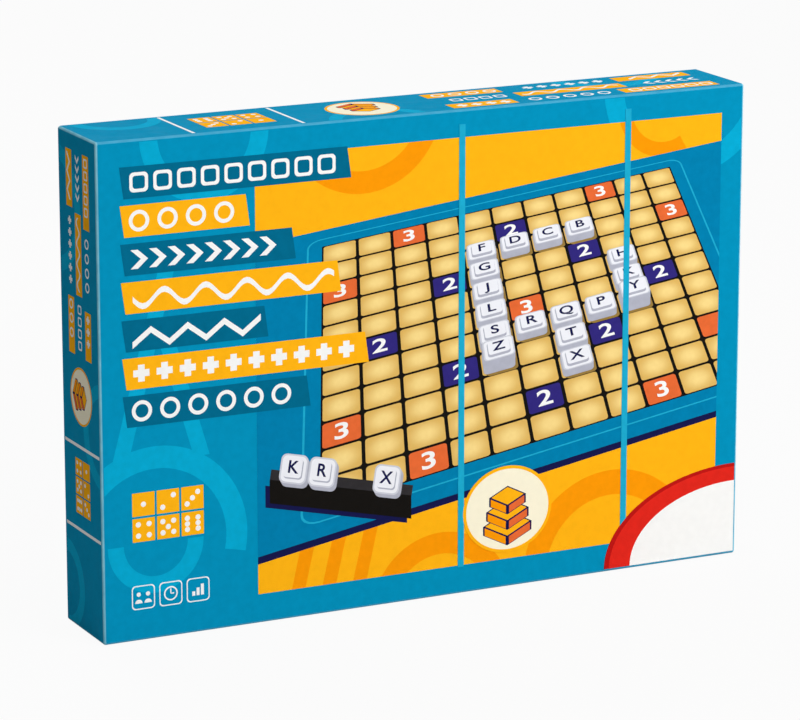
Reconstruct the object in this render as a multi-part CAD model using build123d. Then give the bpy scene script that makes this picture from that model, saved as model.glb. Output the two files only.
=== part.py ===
from build123d import *
import os

# Boxed word board game, standing on the long side wall of its lid.
# Millimetres. X runs along the cover's width, +Z is up, and the printed cover faces -Y.
# The origin is the centre of the footprint, on the surface that the box stands on.

# Box
cover_width = 380.0
cover_height = 266.0
box_depth = 51.0
greyboard = 1.5            # thickness of the lid's and the base's walls
wrap_paper = 0.25          # printed and laminated paper
stay_tape = 0.12           # paper tape at the corners of the greyboard
stay_leg = 18.0            # how far the tape reaches along each wall
stay_end_margin = 6.0      # tape ends this far from the panel's edge and from the rim
edge_radius = 1.6          # wrapped outer edges of the lid and of the base
turn_in = 15.0             # paper turned in over a rim
rim_reveal = 0.5           # the lid's rim stops this short of the back of the base
lid_fit = 0.4              # clearance on each side between the lid and the base
lid_headroom = 0.4         # from the base's rim to the inside of the lid's panel

# Folded card insert with a window and a well
insert_card = 0.9
insert_height = 43.0
insert_fit = 0.3
flap_slit = 0.8            # cut between neighbouring flaps at each corner
divider_card = 1.2
divider_end_gap = 0.3      # between a divider and the well's walls
divider_front_drop = 2.0   # divider's front edge below the deck
tab_width = 9.0
tab_length = 4.0           # how far a tab reaches from the divider's end
tab_inset = 8.0            # from the divider's long edge to its tab
slit_gap = 0.15

# Tiles and their stacks
tile_side = 16.0
tile_corner = 3.6
tile_skirt_height = 4.4
tile_step_height = 1.6     # raised square on the tile's face
tile_step_side = 11.6
tile_step_corner = 2.6
tile_socket_side = 12.4    # hollow underside that takes the raised square of the tile below
tile_socket_corner = 3.0
tile_socket_depth = 2.6
tile_edge_round = 0.7
tile_step_round = 0.5
tiles_per_stack = 9
stack_count = 12
stack_gap = 0.4            # between neighbouring stacks
seat_gap = 0.3             # between a loose piece and what carries it

# Tile racks
rack_length = 190.0
rack_depth = 22.0
rack_height = 18.0
rack_count = 4
racks_per_cell = 2
rack_wall = 1.8
rack_rib_count = 4
rack_lip_height = 5.0
rack_lip_width = 2.6
rack_floor_height = 2.6    # ledge that a tile's lower edge stands on
rack_slope_start = 8.0     # where the leaning face starts, from the front
rack_top_width = 3.0
rack_heel_height = 3.0
rack_back_rake = 3.0       # how far the top stands in from the back
rack_edge_round = 0.6
rack_lip_rake = 0.4        # how much narrower the lip is at its top
finger_room = 12.0         # free height above each pair of racks

# Game board
board_width = 366.0
board_height = 252.0
board_core_thickness = 2.0
board_sheet = 0.2
board_turn_over = 12.0     # face sheet glued round the edges to the back
lining_inset = 4.0         # from the board's edge to the edge of the back lining

# Rules leaflet, folded in three
leaflet_width = 210.0
leaflet_height = 148.0
leaf_thickness = 0.2
leaf_air = 0.15
leaf_count = 3

# Places worked out from the sizes above
same_place = 0.01          # places nearer than this are one
front_face = -box_depth / 2
back_face = box_depth / 2
lid_rim = back_face - rim_reveal
lid_panel_inside = front_face + wrap_paper + greyboard
lid_wall = wrap_paper + greyboard
rim_wall = lid_wall + wrap_paper
base_width = cover_width - 2 * (rim_wall + lid_fit)
base_height = cover_height - 2 * (rim_wall + lid_fit)
base_rim = lid_panel_inside + lid_headroom
base_floor = back_face - lid_wall
mouth_width = base_width - 2 * rim_wall
mouth_height = base_height - 2 * rim_wall
mid_height = cover_height / 2
mouth_bottom = mid_height - mouth_height / 2

deck_front = base_floor - insert_height
stack_pitch = tile_side + stack_gap
stack_row_length = stack_count * stack_pitch - stack_gap
well_width = stack_row_length + 2 * seat_gap
tile_cell = tile_side + 2 * seat_gap
rack_cell = racks_per_cell * (rack_depth + seat_gap) + finger_room
well_height = tile_cell + 2 * divider_card + 2 * rack_cell
well_bottom = mid_height - well_height / 2
lower_divider_bottom = well_bottom + rack_cell
tile_cell_bottom = lower_divider_bottom + divider_card
upper_divider_bottom = tile_cell_bottom + tile_cell
upper_rack_cell_bottom = upper_divider_bottom + divider_card

board_back = deck_front
board_thickness = board_core_thickness + 3 * board_sheet
board_front = board_back - board_thickness
board_bottom = mouth_bottom + seat_gap


def block(width, height, y_front, y_back, bottom=None):
    """A box centred on X, from y_front to y_back, centred on the cover's height unless bottom is given."""
    z_mid = mid_height if bottom is None else bottom + height / 2
    depth = y_back - y_front
    return Pos(0, (y_front + y_back) / 2, z_mid) * Box(width, depth, height)


def soft_block(width, height, y_front, y_back, radius, closed_end):
    """A block whose edges along Y and round its closed end are rounded."""
    body = block(width, height, y_front, y_back)
    closed_y = y_front if closed_end == "front" else y_back
    depth_edges = body.edges().filter_by(Axis.Y)
    closed_edges = [e for e in body.edges() if abs(e.center().Y - closed_y) < same_place]
    return fillet(list(depth_edges) + closed_edges, radius)


def single(shape):
    """The one solid of a boolean's result."""
    solids = shape.solids()
    assert len(solids) == 1, f"expected one solid, got {len(solids)}"
    return solids[0]


def write(name, *solids):
    part = solids[0] if len(solids) == 1 else Compound(children=list(solids))
    part.label = name
    export_step(part, f"parts/{name}.step")
    print(name, len(solids), round(sum(s.volume for s in solids), 1))


def corner_tapes(width, height, y_front, y_back, radius, closed_end, tape_front, tape_back):
    """Four L-shaped tapes round the corners of a greyboard shell."""
    grown = soft_block(
        width + 2 * stay_tape, height + 2 * stay_tape, y_front, y_back, radius + stay_tape, closed_end
    )
    skin = grown - soft_block(width, height, y_front, y_back, radius, closed_end)
    tapes = []
    for x_side in (-1, 1):
        for z_side in (-1, 1):
            x_mid = x_side * (width / 2 + stay_tape - stay_leg / 2)
            z_mid = mid_height + z_side * (height / 2 + stay_tape - stay_leg / 2)
            zone = Pos(x_mid, (tape_front + tape_back) / 2, z_mid) * Box(
                stay_leg, tape_back - tape_front, stay_leg
            )
            tapes.append(single(skin & zone))
    return tapes


def wrapped_shell(width, height, closed_y, rim_y, closed_end):
    """Greyboard shell, its corner tapes and its paper wrap, for the lid or the base.

    closed_y is the outer face of the closed panel and rim_y the open rim. The shell and the
    wrap are each one sheet, given as its panel and four walls.
    """
    inward = 1 if closed_end == "front" else -1

    def span(start, end):
        return (start, end) if start < end else (end, start)

    board_width_out = width - 2 * wrap_paper
    board_height_out = height - 2 * wrap_paper
    cavity_width = width - 2 * lid_wall
    cavity_height = height - 2 * lid_wall
    board_closed = closed_y + inward * wrap_paper
    board_rim = rim_y - inward * wrap_paper
    panel_inside = board_closed + inward * greyboard
    board_radius = edge_radius - wrap_paper

    board_span = span(board_closed, board_rim)
    board_out = soft_block(board_width_out, board_height_out, *board_span, board_radius, closed_end)
    cavity = block(cavity_width, cavity_height, *span(panel_inside, rim_y))

    tape_span = span(board_closed + inward * stay_end_margin, board_rim - inward * stay_end_margin)
    tapes = corner_tapes(
        board_width_out, board_height_out, *board_span, board_radius, closed_end, *tape_span
    )

    wrap_out = soft_block(width, height, *span(closed_y, rim_y), edge_radius, closed_end)
    turned_span = span(rim_y - inward * turn_in, rim_y)
    turned = block(cavity_width, cavity_height, *turned_span)
    turned -= block(cavity_width - 2 * wrap_paper, cavity_height - 2 * wrap_paper, *turned_span)
    wrap = wrap_out - board_out - cavity + turned
    for tape in tapes:
        wrap -= tape
    board_parts = parted_at_folds(
        board_out, board_width_out, board_height_out, greyboard, span, board_closed, panel_inside, board_rim
    )
    wrap_parts = parted_at_folds(single(wrap), width, height, rim_wall, span, closed_y, panel_inside, rim_y)
    return board_parts, tapes, wrap_parts


def parted_at_folds(form, width, height, wall, span, closed_y, fold_y, rim_y):
    """A shell's panel and four walls, which meet face to face where its sheet is scored and folded.

    form is the shell, or the solid form that it is the outer skin of.
    """
    zones = [block(width, height, *span(closed_y, fold_y))]
    for side in (-1, 1):
        upright = block(wall, height, *span(fold_y, rim_y))
        zones.append(Pos(side * (width - wall) / 2, 0, 0) * upright)
        level = block(width - 2 * wall, wall, *span(fold_y, rim_y))
        zones.append(Pos(0, 0, side * (height - wall) / 2) * level)
    return [single(form & zone) for zone in zones]


def insert_platform():
    """One folded sheet: deck with a window, skirts round the outside and flaps down into the well."""
    outer_width = mouth_width - 2 * insert_fit
    outer_height = mouth_height - 2 * insert_fit
    deck_back = deck_front + insert_card
    sheet = soft_block(outer_width, outer_height, deck_front, base_floor, insert_card, "front")
    inside = block(outer_width - 2 * insert_card, outer_height - 2 * insert_card, deck_back, base_floor)
    well_out = block(well_width + 2 * insert_card, well_height + 2 * insert_card, deck_front, base_floor)
    sheet -= inside - well_out
    sheet -= block(well_width, well_height, deck_front, base_floor)
    slit_mid_y = (deck_back + base_floor) / 2
    slit_depth = base_floor - deck_back
    for half_width, half_height in (
        (outer_width / 2 - insert_card / 2, outer_height / 2 - insert_card / 2),
        (well_width / 2 + insert_card / 2, well_height / 2 + insert_card / 2),
    ):
        for x_side in (-1, 1):
            for z_side in (-1, 1):
                spot = Pos(x_side * half_width, slit_mid_y, mid_height + z_side * half_height)
                slit_side = insert_card + flap_slit
                sheet -= spot * Box(slit_side, slit_depth, slit_side)
    for bottom in (lower_divider_bottom, upper_divider_bottom):
        for tab_mid in tab_middles():
            slit = block(
                well_width + 4 * insert_card,
                divider_card + 2 * slit_gap,
                tab_mid - tab_width / 2 - slit_gap,
                tab_mid + tab_width / 2 + slit_gap,
                bottom - slit_gap,
            )
            sheet -= slit
    return single(sheet)


def tab_middles():
    """Middles along Y of the two tabs at each end of a divider."""
    front = deck_front + divider_front_drop + tab_inset + tab_width / 2
    back = base_floor - seat_gap - tab_inset - tab_width / 2
    return front, back


def well_divider(bottom):
    strip_width = well_width - 2 * divider_end_gap
    strip = block(
        strip_width, divider_card, deck_front + divider_front_drop, base_floor - seat_gap, bottom
    )
    for tab_mid in tab_middles():
        strip += block(
            strip_width + 2 * tab_length, divider_card, tab_mid - tab_width / 2, tab_mid + tab_width / 2, bottom
        )
    return single(strip)


def tile():
    """A tile with its face up at +Z and its open underside at Z = 0."""
    skirt = extrude(RectangleRounded(tile_side, tile_side, tile_corner), tile_skirt_height)
    skirt = fillet(skirt.edges().group_by(Axis.Z)[-1], tile_edge_round)
    step = Pos(0, 0, tile_skirt_height) * extrude(
        RectangleRounded(tile_step_side, tile_step_side, tile_step_corner), tile_step_height
    )
    step = fillet(step.edges().group_by(Axis.Z)[-1], tile_step_round)
    socket = extrude(
        RectangleRounded(tile_socket_side, tile_socket_side, tile_socket_corner), tile_socket_depth
    )
    return single(skirt + step - socket)


def tile_stack(index):
    """Nine tiles pressed on one another, their faces towards -Y."""
    x_mid = -stack_row_length / 2 + tile_side / 2 + index * stack_pitch
    z_mid = tile_cell_bottom + seat_gap + tile_side / 2
    one = tile()
    stack = []
    for level in range(tiles_per_stack):
        underside = base_floor - seat_gap - level * tile_skirt_height
        stack.append(single(Pos(x_mid, underside, z_mid) * Rot(X=90) * one))
    return stack


def rack(bottom):
    """A hollow moulded rack, its underside against the base and its heel down."""
    top_back = rack_depth - rack_back_rake
    top_front = top_back - rack_top_width
    slope_run = (top_front - rack_slope_start) / (rack_height - rack_floor_height)
    slope_wall = rack_wall * (1 + slope_run**2) ** 0.5
    section = Polyline(
        (0, 0),
        (rack_depth, 0),
        (rack_depth, rack_heel_height),
        (top_back, rack_height),
        (top_front, rack_height),
        (rack_slope_start, rack_floor_height),
        (rack_lip_width, rack_floor_height),
        (rack_lip_width - rack_lip_rake, rack_lip_height),
        (0, rack_lip_height),
        close=True,
    )
    face = make_face(section)
    upper_corners = [v for v in face.vertices() if v.Y > rack_lip_height - same_place]
    face = fillet(upper_corners, rack_edge_round)
    solid = extrude(face, rack_length / 2, both=True)

    hollow_top = rack_height - 2 * rack_wall
    rake_run = rack_back_rake / (rack_height - rack_heel_height)
    hollow_front = rack_slope_start + slope_run * (hollow_top - rack_floor_height) + slope_wall
    hollow_back = rack_depth - rake_run * (hollow_top - rack_heel_height) - rack_wall
    hollow_outline = Polyline(
        (rack_slope_start + slope_wall, 0),
        (rack_depth - rack_wall, 0),
        (rack_depth - rack_wall, rack_heel_height),
        (hollow_back, hollow_top),
        (hollow_front, hollow_top),
        close=True,
    )
    bay_count = rack_rib_count + 1
    bay_length = (rack_length - (bay_count + 1) * rack_wall) / bay_count
    for bay in range(bay_count):
        start = -rack_length / 2 + rack_wall + bay * (bay_length + rack_wall)
        hollow = Pos(0, 0, start) * extrude(make_face(hollow_outline), bay_length)
        solid -= hollow
    # The section runs down from the lip and forward from the base's floor.
    turned = Plane(
        origin=(0, base_floor - seat_gap, bottom + rack_depth), x_dir=(0, 0, -1), z_dir=(-1, 0, 0)
    )
    return single(turned * solid)


def board_pieces():
    """Core, printed face sheet and back lining, the lining against the deck."""
    lining_back = board_back
    sheet_back = lining_back - board_sheet
    core_back = sheet_back - board_sheet
    core_front = core_back - board_core_thickness
    core_width = board_width - 2 * board_sheet
    core_height = board_height - 2 * board_sheet
    core_bottom = board_bottom + board_sheet
    core = block(core_width, core_height, core_front, core_back, core_bottom)

    sheet = block(board_width, board_height, board_front, sheet_back, board_bottom)
    sheet -= core
    open_bottom = board_bottom + board_turn_over
    open_width = board_width - 2 * board_turn_over
    open_height = board_height - 2 * board_turn_over
    sheet -= block(open_width, open_height, core_back, sheet_back, open_bottom)

    lining = block(
        board_width - 2 * lining_inset,
        board_height - 2 * lining_inset,
        sheet_back,
        lining_back,
        board_bottom + lining_inset,
    )
    lining += block(open_width, open_height, core_back, sheet_back, open_bottom)
    return single(core), single(sheet), single(lining)


def rules_leaflet():
    """One sheet folded in three, standing on the base's wall against the board."""
    bottom = board_bottom
    pitch = leaf_thickness + leaf_air
    leaves = []
    for leaf in range(leaf_count):
        back = board_front - leaf * pitch
        leaves.append(block(leaflet_width, leaflet_height, back - leaf_thickness, back, bottom))
    sheet = leaves[0]
    for leaf in range(1, leaf_count):
        sheet += leaves[leaf]
        front = board_front - leaf * pitch - leaf_thickness
        back = board_front - (leaf - 1) * pitch
        side = 1 if leaf % 2 else -1
        fold = block(leaf_thickness, leaflet_height, front, back, bottom)
        sheet += Pos(side * (leaflet_width - leaf_thickness) / 2, 0, 0) * fold
    return single(sheet)


os.makedirs("parts", exist_ok=True)

lid_board, lid_tapes, lid_wrap = wrapped_shell(cover_width, cover_height, front_face, lid_rim, "front")
write("lid_board", *lid_board)
write("lid_corner_stays", *lid_tapes)
write("lid_wrap", *lid_wrap)

base_board, base_tapes, base_wrap = wrapped_shell(base_width, base_height, back_face, base_rim, "back")
write("base_board", *base_board)
write("base_corner_stays", *base_tapes)
write("base_wrap", *base_wrap)

write("insert_platform", insert_platform())
write("well_divider_lower", well_divider(lower_divider_bottom))
write("well_divider_upper", well_divider(upper_divider_bottom))

for number in range(rack_count):
    cell_bottom = well_bottom if number < racks_per_cell else upper_rack_cell_bottom
    level = number % racks_per_cell
    rack_bottom = cell_bottom + seat_gap + level * (rack_depth + seat_gap)
    write(f"rack_{number + 1}", rack(rack_bottom))

for index in range(stack_count):
    write(f"tile_stack_{index + 1:02d}", *tile_stack(index))

board_core, board_face_sheet, board_back_lining = board_pieces()
write("board_core", board_core)
write("board_face_sheet", board_face_sheet)
write("board_back_lining", board_back_lining)
write("rules_leaflet", rules_leaflet())
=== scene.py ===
import math

import bmesh
import bpy
from mathutils import Matrix, Vector
from mathutils.geometry import tessellate_polygon


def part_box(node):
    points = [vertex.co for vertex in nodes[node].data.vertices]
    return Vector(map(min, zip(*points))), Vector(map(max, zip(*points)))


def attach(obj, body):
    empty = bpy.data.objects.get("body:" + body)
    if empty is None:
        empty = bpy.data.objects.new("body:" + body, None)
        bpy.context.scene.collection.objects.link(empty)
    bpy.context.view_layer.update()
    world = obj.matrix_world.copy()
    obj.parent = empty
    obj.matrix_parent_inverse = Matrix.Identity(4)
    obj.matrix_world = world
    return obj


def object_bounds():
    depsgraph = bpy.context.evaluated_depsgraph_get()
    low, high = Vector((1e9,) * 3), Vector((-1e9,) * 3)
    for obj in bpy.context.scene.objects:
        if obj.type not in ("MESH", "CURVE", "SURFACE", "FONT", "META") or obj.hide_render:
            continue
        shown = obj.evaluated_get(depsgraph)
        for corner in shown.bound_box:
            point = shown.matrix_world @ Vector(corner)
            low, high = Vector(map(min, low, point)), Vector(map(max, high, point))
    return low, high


# A boxed word board game, standing on its long side, with a generic printed cover.
# Metres in the scene. Print layouts are in millimetres: s runs to the right and t down.

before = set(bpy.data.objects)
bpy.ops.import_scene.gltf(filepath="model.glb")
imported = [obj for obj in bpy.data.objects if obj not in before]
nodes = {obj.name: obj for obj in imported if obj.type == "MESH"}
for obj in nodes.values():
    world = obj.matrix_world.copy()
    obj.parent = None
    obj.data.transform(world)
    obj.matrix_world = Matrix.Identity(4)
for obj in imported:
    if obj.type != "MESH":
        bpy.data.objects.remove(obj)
cad_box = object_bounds()

MM = 0.001
INK_STEP = 0.007         # height of one ink layer, mm
INK_SINK = 0.02          # how far ink reaches into its paper, mm
WELD = 5e-7              # points closer than this are one, m
SLIVER = 1e-9            # a triangle with less than half this area is left out, mm2
LETTER_SWELL = 0.02      # how far a letter's outline is moved outwards, as a share of its size
PRINT_MARGIN = 1.7       # flat print starts this far from a rounded edge's outside, mm
PRINT_ROUGHNESS = 0.55
PRINT_SPECULAR = 0.004   # a dull satin, so that a pale studio leaves no veil on the print

lid_low, lid_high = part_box("lid_wrap")
tray_low, tray_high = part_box("base_wrap")
COVER_W = (lid_high.x - lid_low.x) / MM
COVER_H = (lid_high.z - lid_low.z) / MM
SIDE_D = (lid_high.y - lid_low.y) / MM


# Colours

def linear(r, g, b):
    """An sRGB colour of 0 to 255 as linear values."""
    def channel(v):
        v /= 255
        return v / 12.92 if v <= 0.04045 else ((v + 0.055) / 1.055) ** 2.4
    return (channel(r), channel(g), channel(b), 1.0)


TEAL = linear(4, 143, 185)
TEAL_LIGHT = linear(8, 166, 206)
# painted highlight colour for the wrap's rounded edges
TEAL_EDGE_HIGHLIGHT = linear(150, 216, 234)
TEAL_DARK = linear(4, 104, 138)
BOARD_BLUE = linear(3, 126, 172)
LINE_BLUE = linear(30, 168, 204)
ORANGE = linear(255, 180, 22)
ORANGE_DEEP = linear(250, 152, 8)
TAN = linear(222, 180, 96)
TAN_PALE = linear(248, 218, 140)
NAVY = linear(50, 42, 122)
NAVY_DARK = linear(24, 26, 74)
BRICK = linear(229, 106, 54)
BLACK = linear(24, 22, 20)
RACK_GREY = linear(50, 48, 50)
WHITE = linear(246, 246, 244)
CREAM = linear(250, 243, 216)
TILE_SHADE = linear(176, 178, 192)
TILE_RING = linear(206, 208, 218)
TILE_TOP = linear(238, 239, 245)
RED = linear(222, 40, 30)
RED_DARK = linear(186, 24, 22)
GREYBOARD = linear(150, 143, 132)
KRAFT = linear(176, 142, 98)
CARD = linear(226, 225, 220)
RACK_BLACK = linear(20, 20, 21)
TILE_WHITE = linear(236, 237, 241)


# Materials

class Nodes:
    """A small helper that builds one material's nodes."""

    def __init__(self, name):
        self.material = bpy.data.materials.new(name)
        self.material.use_nodes = True
        self.tree = self.material.node_tree
        self.shader = self.tree.nodes["Principled BSDF"]

    def add(self, kind, **settings):
        """A new node; a setting is an input's name, or else an attribute's."""
        node = self.tree.nodes.new(kind)
        for key, value in settings.items():
            if key in node.inputs:
                node.inputs[key].default_value = value
            else:
                setattr(node, key, value)
        return node

    def link(self, output, target):
        self.tree.links.new(output, target)

    def noise(self, scale, detail=3.0, stretch=(1.0, 1.0, 1.0)):
        """Noise in object space; scale is in cycles per metre."""
        place = self.add("ShaderNodeTexCoord")
        mapping = self.add("ShaderNodeMapping")
        mapping.inputs["Scale"].default_value = stretch
        self.link(place.outputs["Object"], mapping.inputs["Vector"])
        noise = self.add("ShaderNodeTexNoise", Scale=scale, Detail=detail)
        self.link(mapping.outputs["Vector"], noise.inputs["Vector"])
        return noise.outputs["Fac"]

    def spread(self, value, low, high, start=0.3, end=0.7, smooth=False):
        """Maps a value from start to end, by default a noise's usual range, to low to high."""
        remap = self.add("ShaderNodeMapRange", interpolation_type="SMOOTHSTEP" if smooth else "LINEAR")
        remap.inputs["From Min"].default_value = start
        remap.inputs["From Max"].default_value = end
        remap.inputs["To Min"].default_value = low
        remap.inputs["To Max"].default_value = high
        self.link(value, remap.inputs["Value"])
        return remap.outputs["Result"]

    def math(self, operation, *values):
        """A maths node on sockets or numbers."""
        node = self.add("ShaderNodeMath", operation=operation)
        for socket, value in zip(node.inputs, values):
            if isinstance(value, bpy.types.NodeSocket):
                self.link(value, socket)
            else:
                socket.default_value = value
        return node.outputs[0]

    def mix(self, factor, a, b):
        """Colour mix; a and b are colours or sockets."""
        mix = self.add("ShaderNodeMix", data_type="RGBA")
        for socket, value in ((mix.inputs[6], a), (mix.inputs[7], b)):
            if isinstance(value, bpy.types.NodeSocket):
                self.link(value, socket)
            else:
                socket.default_value = value
        if isinstance(factor, bpy.types.NodeSocket):
            self.link(factor, mix.inputs[0])
        else:
            mix.inputs[0].default_value = factor
        return mix.outputs[2]

    def bump(self, height, strength, distance):
        bump = self.add("ShaderNodeBump", Strength=strength, Distance=distance)
        self.link(height, bump.inputs["Height"])
        self.link(bump.outputs["Normal"], self.shader.inputs["Normal"])


def shade(colour, factor):
    """A darker or paler colour of the same hue."""
    return (colour[0] * factor, colour[1] * factor, colour[2] * factor, 1.0)


def satin(m, roughness=PRINT_ROUGHNESS):
    """The satin film over a print: patchy roughness and a fine paper grain."""
    patches = m.spread(m.noise(90.0, 2.0), roughness - 0.06, roughness + 0.06)
    m.link(patches, m.shader.inputs["Roughness"])
    m.bump(m.noise(2600.0, 3.0), 0.08, 0.00004)
    m.shader.inputs["Specular IOR Level"].default_value = PRINT_SPECULAR


def print_material(name, colour, mottle=0.05, roughness=PRINT_ROUGHNESS):
    """Laminated print in one ink, slightly mottled."""
    m = Nodes(name)
    mottling = m.spread(m.noise(260.0, 4.0), 0.0, 1.0)
    paint = m.mix(mottling, shade(colour, 1 - mottle), shade(colour, 1 + mottle))
    m.link(paint, m.shader.inputs["Base Color"])
    satin(m, roughness)
    return m.material


def wrap_material(name, colour, edge_highlight_colour):
    """Print on the box's wrap, with a pale painted highlight where the wrap turns round a side's edge."""
    m = Nodes(name)
    place = m.add("ShaderNodeTexCoord")
    split = m.add("ShaderNodeSeparateXYZ")
    m.link(place.outputs["Normal"], split.inputs["Vector"])
    sides = [m.math("ABSOLUTE", split.outputs[axis]) for axis in "XYZ"]
    flattest = m.math("MAXIMUM", m.math("MAXIMUM", sides[0], sides[1]), sides[2])
    # painted highlight: pale on the rounded edges, strongest on edges turned sideways, broken into noisy
    # patches
    rounding = m.spread(flattest, 0.0, 1.0, 0.995, 0.93)
    sideways = m.spread(sides[0], 0.25, 1.0, 0.05, 0.4)
    highlight_patches = m.spread(m.noise(120.0, 5.0), 0.6, 1.0)
    edge_highlight = m.math("MULTIPLY", m.math("MULTIPLY", rounding, sideways), highlight_patches)
    mottling = m.spread(m.noise(260.0, 4.0), 0.0, 1.0)
    paint = m.mix(mottling, shade(colour, 0.96), shade(colour, 1.04))
    m.link(m.mix(edge_highlight, paint, edge_highlight_colour), m.shader.inputs["Base Color"])
    satin(m)
    return m.material


def pillow_material(name, rim, centre):
    """A printed cell, paler towards its middle; reads each cell's own UV square."""
    m = Nodes(name)
    uv = m.add("ShaderNodeTexCoord")
    offset = m.add("ShaderNodeVectorMath", operation="SUBTRACT")
    offset.inputs[1].default_value = (0.5, 0.5, 0.0)
    m.link(uv.outputs["UV"], offset.inputs[0])
    length = m.add("ShaderNodeVectorMath", operation="LENGTH")
    m.link(offset.outputs["Vector"], length.inputs[0])
    glow = m.spread(length.outputs["Value"], 0.0, 1.0, 0.52, 0.08, smooth=True)
    mottling = m.spread(m.noise(420.0, 4.0), 0.86, 1.0)
    m.link(m.mix(m.math("MULTIPLY", glow, mottling), rim, centre), m.shader.inputs["Base Color"])
    satin(m)
    return m.material


def fibre_material(name, dark, pale, roughness, grain=0.25):
    """Board, card or tape: short fibres and a soft mottle."""
    m = Nodes(name)
    fibres = m.spread(m.noise(1500.0, 5.0, (1.0, 1.0, 3.5)), 0.0, 1.0)
    m.link(m.mix(fibres, dark, pale), m.shader.inputs["Base Color"])
    m.link(m.spread(m.noise(300.0, 3.0), roughness - 0.05, roughness + 0.05), m.shader.inputs["Roughness"])
    m.bump(m.noise(1800.0, 5.0), grain, 0.00008)
    return m.material


def plastic_material(name, colour, roughness, grain, specular):
    """Moulded plastic with a slight flow mottle and a fine skin texture."""
    m = Nodes(name)
    m.shader.inputs["Specular IOR Level"].default_value = specular
    flow = m.spread(m.noise(60.0, 3.0), 0.0, 1.0)
    m.link(m.mix(flow, shade(colour, 0.94), shade(colour, 1.03)), m.shader.inputs["Base Color"])
    m.link(m.spread(m.noise(500.0, 4.0), roughness - 0.05, roughness + 0.07), m.shader.inputs["Roughness"])
    m.bump(m.noise(3500.0, 2.0), grain, 0.00003)
    return m.material


ink = {
    "teal_light": print_material("ink_teal_light", TEAL_LIGHT),
    "teal_dark": print_material("ink_teal_dark", TEAL_DARK),
    "board_blue": print_material("ink_board_blue", BOARD_BLUE),
    "line_blue": print_material("ink_line_blue", LINE_BLUE),
    "orange": print_material("ink_orange", ORANGE, 0.03),
    "orange_deep": print_material("ink_orange_deep", ORANGE_DEEP, 0.03),
    "navy": print_material("ink_navy", NAVY),
    "navy_dark": print_material("ink_navy_dark", NAVY_DARK),
    "brick": print_material("ink_brick", BRICK),
    "black": print_material("ink_black", BLACK),
    "white": print_material("ink_white", WHITE, 0.015),
    "cream": print_material("ink_cream", CREAM, 0.015),
    "tile_shade": print_material("ink_tile_shade", TILE_SHADE),
    "tile_ring": print_material("ink_tile_ring", TILE_RING, 0.02),
    "tile_top": print_material("ink_tile_top", TILE_TOP, 0.01),
    "red": print_material("ink_red", RED),
    "red_dark": print_material("ink_red_dark", RED_DARK),
    "cell": pillow_material("ink_cell", TAN, TAN_PALE),
    "cell_shadow": print_material("ink_cell_shadow", shade(TAN, 0.42)),
    "rack_grey": print_material("ink_rack_grey", RACK_GREY, 0.08),
}


# Flat outlines, as lists of (s, t)

def arc(centre, radius, start, end, steps=None):
    """Points of an arc; angles in degrees, 0 to the right and 90 down the page."""
    steps = steps or max(6, int(abs(end - start) / 5))
    points = []
    for i in range(steps + 1):
        a = math.radians(start + (end - start) * i / steps)
        points.append((centre[0] + radius * math.cos(a), centre[1] + radius * math.sin(a)))
    return points


def disc(centre, radius, steps, squeeze=1.0):
    """A circle, or an ellipse whose height is squeeze times its width."""
    return [
        (centre[0] + radius * math.cos(2 * math.pi * i / steps),
         centre[1] + squeeze * radius * math.sin(2 * math.pi * i / steps))
        for i in range(steps)
    ]


def band(centre, inner, outer, start, end):
    """A thick arc."""
    return arc(centre, outer, start, end) + arc(centre, inner, end, start)


def rectangle(s, t, width, height, slant=0.0):
    """A rectangle from its upper left corner; slant moves its upper edge to the right."""
    return [(s + slant, t), (s + width + slant, t), (s + width, t + height), (s, t + height)]


def rounded(s, t, width, height, radius, steps=5):
    """A rectangle with round corners."""
    points = []
    corners = (
        (s + width - radius, t + radius, -90),
        (s + width - radius, t + height - radius, 0),
        (s + radius, t + height - radius, 90),
        (s + radius, t + radius, 180),
    )
    for cs, ct, start in corners:
        points += arc((cs, ct), radius, start, start + 90, steps)
    return points


def flat_part(width, height):
    """The flat part of a face between its rounded edges."""
    return rectangle(PRINT_MARGIN, PRINT_MARGIN, width - 2 * PRINT_MARGIN, height - 2 * PRINT_MARGIN)


def shrunk(outline, centre, share):
    """An outline drawn in towards a centre, to a share of its size."""
    cs, ct = centre
    return [(cs + (s - cs) * share, ct + (t - ct) * share) for s, t in outline]


def cross(centre, reach, line):
    """A plus sign; line is half the width of its arms."""
    points = []
    arm = [(-line, -reach), (line, -reach), (line, -line)]
    for quarter in range(4):
        points += [(centre[0] + s, centre[1] + t) for s, t in arm]
        arm = [(-t, s) for s, t in arm]
    return points


def edges(outline):
    """Each point with the next one, round and back to the first."""
    return zip(outline, outline[1:] + outline[:1])


def turn(a, b, c):
    """Twice the area of a triangle, positive where it runs clockwise on the page."""
    return (b[0] - a[0]) * (c[1] - a[1]) - (b[1] - a[1]) * (c[0] - a[0])


def area_twice(outline):
    """Twice an outline's area, with the sign of turn."""
    return sum(a[0] * b[1] - b[0] * a[1] for a, b in edges(outline))


def clipped(points, region):
    """The part of an outline inside a convex region; a point keeps any values after its place."""
    sign = 1 if area_twice(region) > 0 else -1
    result = list(points)
    for start, end in edges(region):
        def side(p):
            return sign * turn(start, end, p)

        kept = []
        for a, b in edges(result):
            sa, sb = side(a), side(b)
            if sa >= 0:
                kept.append(a)
            if (sa >= 0) != (sb >= 0):
                f = sa / (sa - sb)
                kept.append(tuple(p + f * (q - p) for p, q in zip(a, b)))
        result = kept
        if len(result) < 3:
            return []
    return result


def hull(points):
    """Convex outline round a set of points."""
    points = sorted(set((round(p[0], 5), round(p[1], 5)) for p in points))

    def half(sequence):
        line = []
        for p in sequence:
            while len(line) > 1 and turn(line[-2], line[-1], p) <= 0:
                line.pop()
            line.append(p)
        return line[:-1]

    return half(points) + half(points[::-1])


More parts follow.
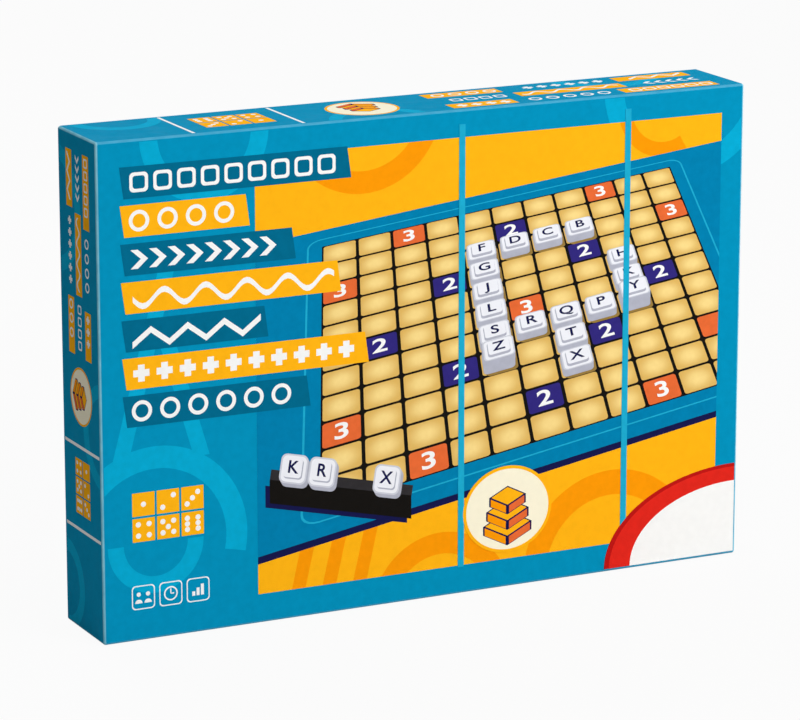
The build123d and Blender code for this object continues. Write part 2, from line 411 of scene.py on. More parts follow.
def weld(mesh):
    """Joins coincident points, so that each plate is closed."""
    work = bmesh.new()
    work.from_mesh(mesh)
    bmesh.ops.remove_doubles(work, verts=work.verts, dist=WELD)
    work.to_mesh(mesh)
    work.free()
    mesh.validate()
    mesh.update()


# Printing on a face

CELL_MIDDLE = (0.5, 0.5)


class Sheet:
    """A printed face. Ink shapes are thin closed plates, one mesh for each colour.

    corner is the page's upper left corner, along and down its unit directions, out its normal.
    """

    def __init__(self, name, body, slot, corner, along, down):
        self.name = name
        self.body = body
        self.slot = slot
        self.corner = Vector(corner)
        self.along = Vector(along)
        self.down = Vector(down)
        self.out = self.down.cross(self.along)
        self.meshes = {}

    def point(self, s, t, lift):
        """A place on the page in the scene; lift is its height above the paper in millimetres."""
        return self.corner + MM * (self.along * s + self.down * t + self.out * lift)

    def plate(self, colour, layer, outline, *holes):
        """Adds a closed plate of ink; layer sets how far it stands above the paper.

        A point is its place (s, t), or (s, t, u, v) with its place in a pillowed cell.
        """
        if len(outline) < 3:
            return
        vertices, faces, uvs = self.meshes.setdefault(colour, ([], [], []))
        loops = [outline, *holes]
        flat = [p for loop in loops for p in loop]
        count = len(flat)
        first = len(vertices)
        for lift in (layer * INK_STEP, -INK_SINK):
            vertices += [self.point(p[0], p[1], lift) for p in flat]
            uvs += [p[2:4] if len(p) == 4 else CELL_MIDDLE for p in flat]
        triangles = tessellate_polygon([[Vector((p[0], p[1], 0)) for p in loop] for loop in loops])
        for a, b, c in triangles:
            bend = turn(flat[a], flat[b], flat[c])
            if abs(bend) < SLIVER:
                continue
            if bend > 0:
                a, c = c, a
            faces.append((first + a, first + b, first + c))
            faces.append((first + count + c, first + count + b, first + count + a))
        start = 0
        for loop in loops:
            outward = (area_twice(loop) > 0) == (loop is outline)
            size = len(loop)
            for i in range(size):
                a = first + start + i
                b = first + start + (i + 1) % size
                quad = (a, b, b + count, a + count)
                faces.append(quad if outward else quad[::-1])
            start += size

    def text(self, colour, layer, word, size, place):
        """Letters or digits in the plain built-in face; place maps (x, y) in letter heights to (s, t)."""
        curve = bpy.data.curves.new(f"glyph_{self.name}", "FONT")
        curve.body = word
        curve.size = size
        curve.align_x = "CENTER"
        curve.align_y = "CENTER"
        curve.extrude = 0.5     # any thickness, since point sets both faces of the ink
        curve.offset = LETTER_SWELL * size
        holder = bpy.data.objects.new(curve.name, curve)
        bpy.context.scene.collection.objects.link(holder)
        mesh = bpy.data.meshes.new_from_object(holder)
        vertices, faces, uvs = self.meshes.setdefault(colour, ([], [], []))
        first = len(vertices)
        for v in mesh.vertices:
            s, t = place(v.co.x, v.co.y)
            vertices.append(self.point(s, t, layer * INK_STEP if v.co.z > 0 else -INK_SINK))
            uvs.append(CELL_MIDDLE)
        for polygon in mesh.polygons:
            faces.append(tuple(first + i for i in polygon.vertices))
        bpy.data.objects.remove(holder)
        bpy.data.curves.remove(curve)
        bpy.data.meshes.remove(mesh)

    def finish(self):
        """Makes one piece from each colour's plates."""
        for colour, (vertices, faces, uvs) in self.meshes.items():
            mesh = bpy.data.meshes.new(f"{self.name}_{colour}")
            mesh.from_pydata(vertices, [], faces)
            mesh.materials.append(ink[colour])
            layer = mesh.uv_layers.new(name="cell")
            for loop in mesh.loops:
                layer.data[loop.index].uv = uvs[loop.vertex_index]
            weld(mesh)
            piece = bpy.data.objects.new(mesh.name, mesh)
            bpy.context.scene.collection.objects.link(piece)
            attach(piece, self.body)


# Motifs

def pips(sheet, number, s, t, size, layer):
    """Plain dice pips in a square cell."""
    near, mid, far = size * 0.26, size * 0.5, size * 0.74
    places = {
        1: [(mid, mid)],
        2: [(near, far), (far, near)],
        3: [(near, far), (mid, mid), (far, near)],
        4: [(near, near), (near, far), (far, near), (far, far)],
        5: [(near, near), (near, far), (far, near), (far, far), (mid, mid)],
        6: [(near, near), (near, mid), (near, far), (far, near), (far, mid), (far, far)],
    }[number]
    for ps, pt in places:
        sheet.plate("white", layer, disc((s + ps, t + pt), size * 0.115, 20))


def pip_block(sheet, s, t, cell, gap, layer):
    """Two rows of three orange cells with one to six pips."""
    for number in range(1, 7):
        column, row = (number - 1) % 3, (number - 1) // 3
        cs, ct = s + column * (cell + gap), t + row * (cell + gap)
        sheet.plate("orange", layer, rectangle(cs, ct, cell, cell))
        pips(sheet, number, cs, ct, cell, layer + 1)


def tile_pile(sheet, centre, size, layer):
    """Three stacked blocks seen from a corner, in orange with navy edges."""
    cs, ct = centre
    rise = size * 0.26          # from one block to the next
    drop = rise * 0.62          # height of a block's sides
    edge = size * 0.044         # how far a face's farthest corner is drawn in
    for level in range(3):
        base = ct + size * 0.275 - level * rise
        width = size * (0.49 - 0.06 * level)
        lean = width * 0.5
        far, right = (cs, base - lean), (cs + width, base)
        near, left = (cs, base + lean), (cs - width, base)
        below_left, below_near, below_right = [(s, t + drop) for s, t in (left, near, right)]
        faces = (
            ("orange", [far, right, near, left]),
            ("orange_deep", [left, near, below_near, below_left]),
            ("brick", [near, right, below_right, below_near]),
        )
        step = layer + 2 * level
        sheet.plate("navy_dark", step, hull([p for colour, outline in faces for p in outline]))
        for colour, outline in faces:
            middle = (sum(p[0] for p in outline) / 4, sum(p[1] for p in outline) / 4)
            reach = max(math.dist(p, middle) for p in outline)
            sheet.plate(colour, step + 1, shrunk(outline, middle, 1 - edge / reach))


def badge(sheet, centre, radius, squeeze, layer):
    """Cream oval with an orange rim and a pile of blocks."""
    sheet.plate("orange", layer, disc(centre, radius, 72, squeeze))
    sheet.plate("cream", layer + 1, disc(centre, radius * 0.93, 72, squeeze))
    tile_pile(sheet, centre, radius * 1.12, layer + 2)


def clock_sign(sheet, middle, size, layer):
    """A clock's ring with two hands."""
    cs, ct = middle
    ring = disc(middle, size * 0.3, 32)
    sheet.plate("white", layer, ring, shrunk(ring, middle, 0.8))
    sheet.plate("white", layer, rectangle(cs - size * 0.025, ct - size * 0.2, size * 0.05, size * 0.2))
    sheet.plate("white", layer, rectangle(cs, ct - size * 0.025, size * 0.14, size * 0.05))


def players_sign(sheet, middle, size, layer):
    """Two players, each a head over round shoulders."""
    for shift in (-0.2, 0.2):
        cs = middle[0] + shift * size
        sheet.plate("white", layer, disc((cs, middle[1] - size * 0.13), size * 0.09, 20))
        sheet.plate("white", layer, arc((cs, middle[1] + size * 0.24), size * 0.16, 180, 360, 12))


def bars_sign(sheet, middle, size, layer):
    """Three rising bars."""
    foot = middle[1] + size * 0.24
    for i in range(3):
        left = middle[0] - size * 0.26 + i * size * 0.19
        height = size * (0.18 + 0.14 * i)
        sheet.plate("white", layer, rectangle(left, foot - height, size * 0.13, height))


def pictograms(sheet, s, t, size, pitch, layer):
    """Three white outlined rounded squares with plain signs: players, a clock and rising bars."""
    for i, sign in enumerate((players_sign, clock_sign, bars_sign)):
        left = s + i * pitch
        outer = rounded(left, t, size, size, size * 0.16)
        middle = (left + size / 2, t + size / 2)
        sheet.plate("white", layer, outer, shrunk(outer, middle, 0.91))
        sign(sheet, middle, size, layer)


# Rows of plain white marks along a label bar whose upper left corner is at s and t

def ring_marks(sheet, s, t, length, height, layer):
    pitch = height * 0.95
    for i in range(int((length - height * 0.2) / pitch)):
        centre = (s + height * 0.5 + i * pitch, t + height / 2)
        ring = disc(centre, height * 0.34, 28)
        sheet.plate("white", layer, ring, shrunk(ring, centre, 0.64))


def tile_marks(sheet, s, t, length, height, layer):
    side = height * 0.62
    pitch = side * 1.28
    top = t + height * 0.19
    for i in range(int((length - height * 0.3) / pitch)):
        left = s + height * 0.2 + i * pitch
        outer = rounded(left, top, side, side, side * 0.22)
        sheet.plate("white", layer, outer, shrunk(outer, (left + side / 2, top + side / 2), 0.66))


def ribbon(sheet, points, thickness, layer):
    """A line whose thickness is measured down the page."""
    lower = [(s, t + thickness) for s, t in points]
    sheet.plate("white", layer, points + lower[::-1])


def zigzag_marks(sheet, s, t, length, height, layer):
    pitch = height * 0.62
    points = []
    for i in range(int((length - height * 0.4) / pitch) + 1):
        points.append((s + height * 0.22 + i * pitch, t + height * (0.24 if i % 2 else 0.7)))
    ribbon(sheet, points, height * 0.209, layer)


def wave_marks(sheet, s, t, length, height, layer):
    steps = 64
    waves = length / height / 1.5
    reach = length - height * 0.5
    points = []
    for i in range(steps + 1):
        swing = math.sin(i / steps * math.pi * 2 * waves)
        points.append((s + height * 0.25 + reach * i / steps, t + height * (0.46 + 0.24 * swing)))
    ribbon(sheet, points, height * 0.187, layer)


def chevron_marks(sheet, s, t, length, height, layer):
    pitch = height * 0.62
    wide = height * 0.242
    top, middle, bottom = t + height * 0.2, t + height * 0.5, t + height * 0.8
    for i in range(int((length - height * 0.5) / pitch)):
        left = s + height * 0.2 + i * pitch
        tip = left + height * 0.34
        sheet.plate("white", layer, [
            (left, top), (left + wide, top), (tip + wide, middle),
            (left + wide, bottom), (left, bottom), (tip, middle),
        ])


def cross_marks(sheet, s, t, length, height, layer):
    pitch = height * 0.78
    for i in range(int((length - height * 0.3) / pitch)):
        centre = (s + height * 0.5 + i * pitch, t + height / 2)
        sheet.plate("white", layer, cross(centre, height * 0.27, height * 0.11))


# The board's picture on the cover

def perspective(corners, columns, rows):
    """Maps a place on the board, in cells, to the page; corners are upper left, upper right,
    lower right and lower left."""
    (x0, y0), (x1, y1), (x2, y2), (x3, y3) = corners
    dx1, dy1, dx2, dy2 = x1 - x2, y1 - y2, x3 - x2, y3 - y2
    sx, sy = x0 - x1 + x2 - x3, y0 - y1 + y2 - y3
    det = dx1 * dy2 - dx2 * dy1
    g = (sx * dy2 - dx2 * sy) / det
    h = (dx1 * sy - sx * dy1) / det
    a, b = x1 - x0 + g * x1, x3 - x0 + h * x3
    d, e = y1 - y0 + g * y1, y3 - y0 + h * y3

    def place(u, v):
        u, v = u / columns, v / rows
        w = g * u + h * v + 1
        return ((a * u + b * v + x0) / w, (d * u + e * v + y0) / w)

    return place


def placed(place, points):
    """An outline in cells as an outline on the page."""
    return [place(u, v) for u, v in points]


CELLS = 11
BONUS_TWO = [(5, 1), (5, 9), (1, 5), (9, 5), (3, 3), (7, 3), (3, 7), (7, 7)]
BONUS_THREE = [(5, 5), (0, 2), (2, 0), (8, 0), (10, 2), (0, 8), (2, 10), (8, 10), (10, 8)]


def grid_picture(sheet, place, region, first_layer, margin=0.045):
    """Black ground, pillowed cells and numbered bonus cells; margin is in cells."""
    ground = placed(place, rectangle(0, 0, CELLS, CELLS))
    sheet.plate("black", first_layer, clipped(ground, region))
    side = 1 - 2 * margin
    flat = rounded(margin, margin, side, side, 0.08, 3)
    for column in range(CELLS):
        for row in range(CELLS):
            colour, digit = "cell", None
            if (column, row) in BONUS_TWO:
                colour, digit = "navy", "2"
            if (column, row) in BONUS_THREE:
                colour, digit = "brick", "3"
            outline = [place(column + u, row + v) + (u, v) for u, v in flat]
            inside = clipped(outline, region)
            sheet.plate(colour, first_layer + 1, inside)
            if digit and inside == outline:
                sheet.text(
                    "white", first_layer + 2, digit, 0.82,
                    lambda x, y, c=column, r=row: place(c + 0.5 + x, r + 0.5 - y),
                )


PICTURE_TILE_RISE = 3.6      # height of a drawn tile's skirt on the page, mm
PICTURE_STEP_RISE = 1.2      # height of its raised square, mm
PICTURE_SHADOW = (1.8, 1.1)  # how far its shadow reaches along and down the page, mm


def pictured_tile(sheet, place, column, row, letter, level=0):
    """A tile drawn on the board's picture: shadow, skirt, raised square and a letter.

    Tiles on the board share their layers, apart from shadows and skirts, which lie over a
    neighbour's; a tile on a stack has its own layers above them.
    """
    order = (row + 2 * column) % NEIGHBOURS
    lift = level * PICTURE_TILE_RISE
    face = STACKED if level else TILE_FACE

    def outline(half, radius, height):
        points = rounded(column + 0.5 - half, row + 0.5 - half, 2 * half, 2 * half, radius)
        return [(s, t - height) for s, t in placed(place, points)]

    foot = outline(0.42, 0.12, lift)
    rim = lift + PICTURE_TILE_RISE
    if level == 0:
        shadow = [(s + PICTURE_SHADOW[0], t + PICTURE_SHADOW[1]) for s, t in foot]
        sheet.plate("cell_shadow", TILE_SHADOW + order, hull(foot + shadow))
    sheet.plate("tile_shade", face - NEIGHBOURS + order, hull(foot + outline(0.415, 0.12, rim)))
    sheet.plate("tile_ring", face, outline(0.415, 0.12, rim))
    sheet.plate("tile_top", face + 1, outline(0.375, 0.10, rim))
    step_foot = outline(0.30, 0.09, rim)
    step_top = outline(0.285, 0.08, rim + PICTURE_STEP_RISE)
    sheet.plate("tile_shade", face + 2, hull(step_foot + step_top))
    sheet.plate("tile_top", face + 3, step_top)

    def letter_place(x, y):
        s, t = place(column + 0.5 + x, row + 0.5 - y)
        return (s, t - rim - PICTURE_STEP_RISE)

    sheet.text("navy_dark", face + 4, letter, 0.5, letter_place)


def pictured_rack(sheet, start, end, letters):
    """A black rack drawn on the picture, with tiles leaning on it."""
    length = math.dist(start, end)
    along = ((end[0] - start[0]) / length, (end[1] - start[1]) / length)
    up = (0.16, -0.987)
    height, ledge, edge = 12.0, 6.5, 0.9    # the front, the ledge behind it and the ledge's edge
    side, ring, step = 16.0, 0.9, 2.6       # a tile's side, and insets of its top and raised square
    flat, skirt, raised = (0, 0), (1.2, 2.2), (-0.5, -0.9)      # shifts of a tile's squares

    def place(x, y, lift=flat):
        s = start[0] + along[0] * x + up[0] * y + lift[0]
        t = start[1] + along[1] * x + up[1] * y + lift[1]
        return (s, t)

    front = [start, end, (end[0], end[1] + height), (start[0], start[1] + height)]
    sheet.plate("navy_dark", RACK, [(s - 2.5, t + 2.0) for s, t in front])
    sheet.plate("black", RACK + 1, front)
    sheet.plate("rack_grey", RACK + 2, placed(place, rectangle(0, 0, length, ledge)))
    sheet.plate("black", RACK + 3, placed(place, rectangle(0, 0, length, edge)))
    for x, letter in letters:
        def square(inset, lift):
            width = side - 2 * inset
            points = rounded(x + inset, inset, width, width, 3.4 - inset * 0.6)
            return [place(px, py, lift) for px, py in points]

        sheet.plate("tile_shade", RACK + 4, hull(square(0, flat) + square(0, skirt)))
        sheet.plate("tile_ring", RACK + 5, square(0, flat))
        sheet.plate("tile_top", RACK + 6, square(ring, flat))
        sheet.plate("tile_shade", RACK + 7, hull(square(step, flat) + square(step, raised)))
        sheet.plate("tile_top", RACK + 8, square(step, raised))
        sheet.text(
            "navy_dark", RACK + 9, letter, 9.6,
            lambda px, py, m=x + side / 2: place(m + px, side / 2 + py, raised),
        )


# Layers of the cover's print, from the paper up. Shapes that share a layer lie apart on the page,
# and so do the label bars, the rack and the tiles' shadows, and the corner and the badge.

GROUND = 1
GROUND_LAYERS = 4                           # large shapes that cross are on different ones
FIELD = GROUND + GROUND_LAYERS
FIELD_SHAPES = FIELD + 1                    # arcs, then bars
BOARD = FIELD_SHAPES + 2                    # edge, blue ground, and the line round the grid
GRID = BOARD + 4                            # ground, cells and numbers
BARS = RACK = TILE_SHADOW = GRID + 3
NEIGHBOURS = 4                              # shadows and skirts of tiles that touch need this many
TILE_FACE = TILE_SHADOW + 2 * NEIGHBOURS    # above the skirts
STACKED = TILE_FACE + 5 + NEIGHBOURS
LINES = STACKED + 5
CORNER = BADGE = LINES + 1


def cover_picture(sheet):
    """A board seen from its right corner, on an orange ground, with tiles and a rack."""
    field = rectangle(88.0, 15.0, 278.0, 235.0)
    sheet.plate("orange", FIELD, field)
    arcs = [
        band((150, -6), 34, 46, 0, 180),
        band((300, 262), 40, 54, 180, 360),
        band((196, 272), 30, 42, 180, 360),
        band((330, 8), 20, 28, 60, 200),
    ]
    bars = [rectangle(s, 205.0, 8.0, 60.0, 14.0) for s in (104.0, 122.0, 140.0)]
    for layer, shapes in ((FIELD_SHAPES, arcs), (FIELD_SHAPES + 1, bars)):
        for shape in shapes:
            sheet.plate("orange_deep", layer, clipped(shape, field))
    place = perspective([(126, 66), (334, 42), (390, 164), (124, 208)], CELLS, CELLS)
    wide, narrow = 3.6, 0.9     # the drawn board's borders beside and past its grid, in cells
    width = CELLS + 2 * wide
    edge = rectangle(-wide, CELLS + narrow - 0.05, width, 0.27)
    board = rectangle(-wide, -narrow, width, CELLS + 2 * narrow)
    line_outer = rounded(-0.42, -0.42, CELLS + 0.84, CELLS + 0.84, 0.4)
    line_inner = rounded(-0.37, -0.37, CELLS + 0.74, CELLS + 0.74, 0.36)
    outlines = (
        ("navy_dark", edge), ("board_blue", board), ("line_blue", line_outer), ("board_blue", line_inner),
    )
    for layer, (colour, outline) in enumerate(outlines):
        sheet.plate(colour, BOARD + layer, clipped(placed(place, outline), field))
    grid_picture(sheet, place, field, GRID)
    letters = iter("BCDFGHJKLNPQRSTVXYZ")
    down = [(4, row) for row in range(2, 8)]
    across = [(column, 6) for column in (5, 6, 7, 8)]
    short = [(8, 4), (8, 5), (6, 7), (6, 8), (7, 2), (6, 2), (5, 2)]
    for column, row in sorted(set(down + across + short), key=lambda p: (p[1], -p[0])):
        pictured_tile(sheet, place, column, row, next(letters))
    for column, row in ((8, 6), (4, 7)):
        pictured_tile(sheet, place, column, row, next(letters), 1)
    pictured_rack(sheet, (95, 189), (178, 208), [(5.0, "K"), (22.0, "R"), (61.0, "X")])


def tone_shapes(sheet, page, *shapes):
    """Large tone-on-tone shapes on the teal ground; those that cross are on different layers."""
    for i, shape in enumerate(shapes):
        sheet.plate("teal_light", GROUND + i % GROUND_LAYERS, clipped(shape, page))


def label_bars(sheet):
    """Seven label bars in turn dark teal and orange, with plain marks in place of words."""
    bars = (
        ("teal_dark", 128.0, tile_marks),
        ("orange", 70.0, ring_marks),
        ("teal_dark", 96.0, chevron_marks),
        ("orange", 122.0, wave_marks),
        ("teal_dark", 80.0, zigzag_marks),
        ("orange", 138.0, cross_marks),
        ("teal_dark", 104.0, ring_marks),
    )
    left, top, height, pitch, slant = 15.0, 14.0, 16.6, 20.0, -2.2
    for i, (colour, length, marks) in enumerate(bars):
        t = top + i * pitch
        sheet.plate(colour, BARS, rectangle(left, t, length, height, slant))
        marks(sheet, left, t, length, height, BARS + 1)


def cover_corner(sheet):
    """White quarter round with a red band in the lower right corner."""
    corner = (COVER_W - PRINT_MARGIN, COVER_H - PRINT_MARGIN)
    page = rectangle(0, 0, *corner)
    rounds = (("red_dark", 82.0), ("red", 79.0), ("white", 66.0))
    for layer, (colour, radius) in enumerate(rounds):
        sheet.plate(colour, CORNER + layer, clipped(disc(corner, radius, 96, 0.62), page))


def front_sheet(name, body, slot, node):
    """A page over the front of a node, and the page's width and height."""
    low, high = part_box(node)
    sheet = Sheet(name, body, slot, (low.x, low.y, high.z), (1, 0, 0), (0, 0, -1))
    return sheet, (high.x - low.x) / MM, (high.z - low.z) / MM


def print_cover():
    """The lid's front: quiet shapes, the picture, label bars, badge, pip block and pictograms."""
    sheet, width, height = front_sheet("cover", "lid", "cover_print", "lid_wrap")
    tone_shapes(
        sheet,
        flat_part(width, height),
        band((30, 214), 40, 52, 150, 372),
        band((30, 214), 18, 27, 0, 180),
        band((60, 0), 26, 36, 0, 180),
        band((345, -4), 40, 52, 20, 180),
        band((352, 262), 26, 36, 170, 300),
        rectangle(6, 60, 9, 110, 30),
        rectangle(52, 96, 9, 74, -22),
    )
    cover_picture(sheet)
    for s in (206.0, 306.0):
        sheet.plate("line_blue", LINES, rectangle(s, 8.0, 3.6, 243.0))
    label_bars(sheet)
    badge(sheet, (236.0, 222.0), 27.0, 0.9, BADGE)
    pip_block(sheet, 17.0, 186.0, 12.6, 1.2, FIELD)
    pictograms(sheet, 16.0, 236.0, 13.0, 15.5, FIELD)
    cover_corner(sheet)
    sheet.finish()


# A side wall's layout, as shares of its length
SHORT_SIDE = {"rows_end": 0.44, "badge": 0.52, "lines": (0.62, 0.79), "block": 0.705}
LONG_SIDE = {"rows_end": 0.46, "badge": 0.575, "lines": (0.69, 0.853), "block": 0.772}

# A side wall's rows of bars: colour, share of the row, marks
SIDE_ROWS = (
    (("orange", 0.36, tile_marks), (None, 0.34, ring_marks), ("orange", 0.24, cross_marks)),
    ((None, 0.27, chevron_marks), ("orange", 0.40, wave_marks), (None, 0.27, tile_marks)),
    (("orange", 0.28, zigzag_marks), (None, 0.38, cross_marks), ("orange", 0.28, ring_marks)),
)


def side_print(name, corner, along, length, layout, row_height, badge_radius, cell):
    """One side wall: rows of marks, a badge, two white dividing lines and the pip block."""
    sheet = Sheet(name, "lid", "cover_print", corner, along, (0, 1, 0))
    page = flat_part(length, SIDE_D)
    tone_shapes(
        sheet,
        page,
        band((length * 0.16, SIDE_D * 1.1), 26, 34, 180, 360),
        band((length * 0.58, -6), 22, 29, 0, 180),
        band((length * 0.92, SIDE_D), 18, 25, 180, 360),
    )
    start = 0.035 * length
    reach = layout["rows_end"] * length - start
    pitch = row_height * 1.42
    first = (SIDE_D - 2 * pitch - row_height) / 2
    for r, row in enumerate(SIDE_ROWS):
        s, t = start, first + r * pitch
        for colour, share, marks in row:
            width = share * reach
            if colour:
                sheet.plate(colour, FIELD, rectangle(s, t, width, row_height))
            marks(sheet, s, t, width, row_height, FIELD + 1)
            s += width + 0.03 * reach
    badge(sheet, (layout["badge"] * length, SIDE_D / 2), badge_radius, 0.95, FIELD)
    for share in layout["lines"]:
        sheet.plate("white", FIELD, clipped(rectangle(share * length, 0, 1.7, SIDE_D), page))
    gap = 0.09 * cell
    block_s = layout["block"] * length - 1.5 * cell - gap
    block_t = SIDE_D / 2 - cell - gap / 2
    pip_block(sheet, block_s, block_t, cell, gap, FIELD)
    sheet.finish()


def print_sides():
    """The lid's four walls; each page starts at a front corner and runs round the cover."""
    # length, layout, height of a row, radius of the badge, side of a pip cell
    short = (COVER_H, SHORT_SIDE, 8.0, 15.5, 9.4)
    long = (COVER_W, LONG_SIDE, 11.0, 20.0, 12.4)
    side_print("side_top", (lid_high.x, lid_low.y, lid_high.z), (-1, 0, 0), *long)
    side_print("side_bottom", (lid_low.x, lid_low.y, lid_low.z), (1, 0, 0), *long)
    side_print("side_left", (lid_low.x, lid_low.y, lid_high.z), (0, 0, -1), *short)
    side_print("side_right", (lid_high.x, lid_low.y, lid_low.z), (0, 0, 1), *short)


def print_back():
    """The tray's back: large quiet shapes, a panel of bars, the pip block and three pictograms."""
    width = (tray_high.x - tray_low.x) / MM
    height = (tray_high.z - tray_low.z) / MM
    sheet = Sheet("back", "base_tray", "base_paper", tray_high, (-1, 0, 0), (0, 0, -1))
    tone_shapes(
        sheet,
        flat_part(width, height),
        band((width * 0.2, height * 0.78), 52, 66, 150, 372),
        band((width * 0.84, -4), 58, 72, 0, 180),
        band((width * 0.52, height * 0.5), 24, 34, 0, 300),
        rectangle(width * 0.3, 30, 12, 150, 36),
    )
    sheet.plate("white", FIELD, rounded(width * 0.56, height * 0.56, width * 0.38, height * 0.34, 5.0))
    bar = 8.0
    for i, marks in enumerate((tile_marks, ring_marks, wave_marks, chevron_marks)):
        s, t = width * 0.6, height * (0.61 + 0.065 * i)
        sheet.plate("teal_dark", FIELD + 1, rectangle(s, t, width * (0.3 - 0.04 * i), bar))
        marks(sheet, s, t, width * (0.28 - 0.04 * i), bar, FIELD + 2)
    pictograms(sheet, 18.0, height - 36.0, 18.0, 22.0, FIELD)
    pip_block(sheet, 18.0, 20.0, 20.0, 1.6, FIELD)
    sheet.finish()


# The pieces inside

def print_board():
    """The game board: blue ground, a rounded line round the grid, cells and bonus numbers."""
    sheet, width, height = front_sheet("board", "game_board", "board_print", "board_face_sheet")
    pitch = height / (CELLS + 1.8)
    side = CELLS * pitch
    s0, t0 = (width - side) / 2, (height - side) / 2

    def place(u, v):
        return (s0 + u * pitch, t0 + v * pitch)

    line, hole = [
        rounded(s0 - gap, t0 - gap, side + 2 * gap, side + 2 * gap, radius)
        for gap, radius in ((7.2, 7.0), (6.4, 6.4))
    ]
    sheet.plate("line_blue", 1, line, hole)
    grid_picture(sheet, place, rectangle(0, 0, width, height), 1, 0.03)
    sheet.finish()


def letter_tiles():
    """A single letter on the raised square of each stack's front tile."""
    for i, letter in enumerate("ABCDEFGHIJKL"):
        node = f"tile_stack_{i + 1:02d}"
        sheet, side, _ = front_sheet(f"letter_{i + 1:02d}", node, "tile_plastic", node)
        sheet.text("navy_dark", 1, letter, 8.6, lambda x, y, h=side / 2: (h + x, h - y))
        sheet.finish()


def print_leaflet():
    """Quiet rules print: a heading bar, then grey lines and a small grid in three columns."""
    sheet, width, _ = front_sheet("leaflet", "leaflet", "leaflet_paper", "rules_leaflet")
    margin, heading, columns = 10.0, 9.0, 3
    lines, lines_top, line_pitch, line = 12, 26.0, 4.6, 1.3
    cells, grid_top, cell_pitch, cell = 5, 88.0, 9.6, 8.9
    sheet.plate("teal_dark", 1, rectangle(margin, margin, width - 2 * margin, heading))
    tile_marks(sheet, margin + 2, margin, width - 3 * margin, heading, 2)
    wide = (width - (columns + 1) * margin) / columns
    for column in range(columns):
        left = margin + column * (wide + margin)
        for row in range(lines):
            share = 0.62 if row % 5 == 4 else 1.0 - 0.04 * ((row * 7 + column * 3) % 4)
            sheet.plate("tile_shade", 1, rectangle(left, lines_top + row * line_pitch, wide * share, line))
        for u in range(cells):
            for v in range(cells):
                colour = "navy" if u == v else "orange"
                s, t = left + u * cell_pitch, grid_top + v * cell_pitch
                sheet.plate(colour, 1, rectangle(s, t, cell, cell))
    sheet.finish()


def dress_nodes():
    """Procedural materials on the carried-over pieces."""
    looks = {
        # the wraps carry a painted highlight along their rounded edges
        "lid_wrap": wrap_material("lid_wrap_print", TEAL, TEAL_EDGE_HIGHLIGHT),
        "base_wrap": wrap_material("base_wrap_print", TEAL, TEAL_EDGE_HIGHLIGHT),
        "board_face_sheet": print_material("board_sheet_print", BOARD_BLUE),
        "board_back_lining": print_material("board_lining", NAVY_DARK, 0.08, 0.6),
        "rules_leaflet": print_material("leaflet_paper", WHITE, 0.01),
    }
    greyboard = fibre_material("greyboard", shade(GREYBOARD, 0.82), shade(GREYBOARD, 1.1), 0.88, 0.4)
    tape = fibre_material("kraft_tape", shade(KRAFT, 0.9), shade(KRAFT, 1.06), 0.7)
    card = fibre_material("white_lined_card", shade(CARD, 0.95), shade(CARD, 1.02), 0.62, 0.12)
    black = plastic_material("rack_black", RACK_BLACK, 0.46, 0.1, 0.12)
    white = plastic_material("tile_white", TILE_WHITE, 0.3, 0.05, 0.35)
    for name in nodes:
        if name in looks:
            look = looks[name]
        elif name in ("lid_board", "base_board", "board_core"):
            look = greyboard
        elif name.endswith("corner_stays"):
            look = tape
        elif name.startswith("rack"):
            look = black
        elif name.startswith("tile"):
            look = white
        else:
            look = card
        mesh = nodes[name].data
        mesh.materials.clear()
        mesh.materials.append(look)


# Camera, floor and light

PHOTO_YAW = math.radians(26.22)
PHOTO_PITCH = math.radians(-14.07)
PHOTO_DISTANCE = 5.794 * COVER_W * MM
PHOTO_RIGHT = 0.0145 * COVER_W * MM
PHOTO_UP = 0.0168 * COVER_W * MM
LENS = 184.6
SENSOR = 36.0
FLOOR_REACH = 6.0           # from the middle to an edge, m
FLOOR_GAP = 0.12            # the floor lies this far under z = 0, clear of the lower wall's print, mm
FLOOR_GREY = 0.5
FLOOR_GLOW = 0.94           # share of the floor's look that is plain white
WORLD_STRENGTH = 0.24

# Lamps: name, place, target, size in metres, power in watts
LAMPS = (
    ("key", (1.0, -2.1, 1.1), (0, 0, 0.13), (1.6, 1.2), 47.5),
    ("top", (0.3, -0.5, 2.1), (0, 0, 0.2), (1.4, 1.4), 12),
    ("back", (0.0, 1.9, 2.0), (0, 0, 0.13), (1.2, 1.2), 23),
)


def make_camera():
    """The photograph's viewpoint, from a fit of the box's corners."""
    cp = math.cos(PHOTO_PITCH)
    forward = Vector((math.sin(PHOTO_YAW) * cp, math.cos(PHOTO_YAW) * cp, math.sin(PHOTO_PITCH)))
    right = Vector((math.cos(PHOTO_YAW), -math.sin(PHOTO_YAW), 0))
    up = right.cross(forward)
    centre = (Vector(cad_box[0]) + Vector(cad_box[1])) / 2
    place = centre - right * PHOTO_RIGHT - up * PHOTO_UP - forward * PHOTO_DISTANCE
    data = bpy.data.cameras.new("camera")
    data.lens = LENS
    data.sensor_width = SENSOR
    camera = bpy.data.objects.new("camera", data)
    bpy.context.scene.collection.objects.link(camera)
    camera.matrix_world = Matrix.Translation(place) @ Matrix((right, up, -forward)).transposed().to_4x4()
    bpy.context.scene.camera = camera


def seen_directly(tree):
    """A socket that is 1 for what the camera sees, also in a reflection, and 0 for light."""
    path = tree.nodes.new("ShaderNodeLightPath")
    seen = tree.nodes.new("ShaderNodeMath")
    seen.operation = "MAXIMUM"
    tree.links.new(path.outputs["Is Camera Ray"], seen.inputs[0])
    tree.links.new(path.outputs["Is Glossy Ray"], seen.inputs[1])
    return seen.outputs[0]


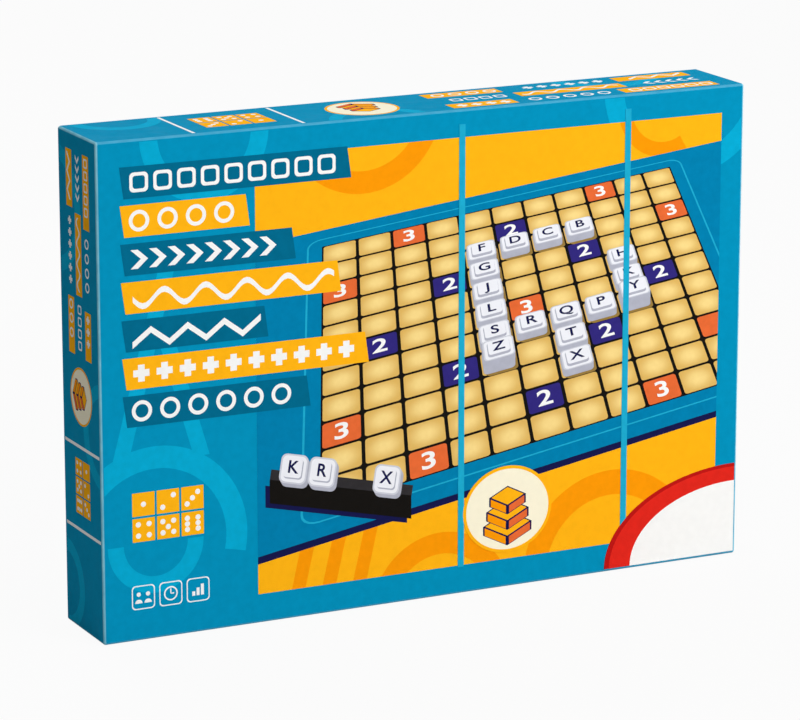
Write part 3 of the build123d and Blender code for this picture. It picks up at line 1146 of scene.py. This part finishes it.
def make_floor():
    """A pale floor that reads as white to the camera and keeps a soft shadow."""
    square = rectangle(-FLOOR_REACH, -FLOOR_REACH, 2 * FLOOR_REACH, 2 * FLOOR_REACH)
    mesh = bpy.data.meshes.new("floor")
    mesh.from_pydata([(x, y, -FLOOR_GAP * MM) for x, y in square], [], [(0, 1, 2, 3)])
    floor = bpy.data.objects.new("floor", mesh)
    bpy.context.scene.collection.objects.link(floor)
    m = Nodes("floor")
    m.shader.inputs["Base Color"].default_value = (FLOOR_GREY, FLOOR_GREY, FLOOR_GREY, 1)
    m.shader.inputs["Roughness"].default_value = 0.9
    glow = m.add("ShaderNodeEmission", Strength=1.0)
    mix = m.add("ShaderNodeMixShader")
    m.link(m.math("MULTIPLY", seen_directly(m.tree), FLOOR_GLOW), mix.inputs[0])
    m.link(m.shader.outputs[0], mix.inputs[1])
    m.link(glow.outputs[0], mix.inputs[2])
    m.link(mix.outputs[0], m.tree.nodes["Material Output"].inputs["Surface"])
    mesh.materials.append(m.material)


def make_world():
    """A white surround that lights the scene only weakly."""
    world = bpy.data.worlds.new("studio")
    world.use_nodes = True
    tree = world.node_tree
    background = tree.nodes["Background"]
    background.inputs["Color"].default_value = (1, 1, 1, 1)
    remap = tree.nodes.new("ShaderNodeMapRange")
    remap.inputs["To Min"].default_value = WORLD_STRENGTH
    remap.inputs["To Max"].default_value = 1.0
    tree.links.new(seen_directly(tree), remap.inputs["Value"])
    tree.links.new(remap.outputs["Result"], background.inputs["Strength"])
    bpy.context.scene.world = world


def area_light(name, place, target, size, power):
    """A rectangular lamp that faces its target."""
    data = bpy.data.lights.new(name, "AREA")
    data.shape = "RECTANGLE"
    data.size, data.size_y = size
    data.energy = power
    light = bpy.data.objects.new(name, data)
    bpy.context.scene.collection.objects.link(light)
    light.location = place
    light.rotation_euler = (Vector(target) - Vector(place)).to_track_quat("-Z", "Y").to_euler()


dress_nodes()
print_cover()
print_sides()
print_back()
print_board()
letter_tiles()
print_leaflet()
make_camera()
make_floor()
make_world()
for lamp in LAMPS:
    area_light(*lamp)
bpy.context.scene.view_settings.view_transform = "Standard"
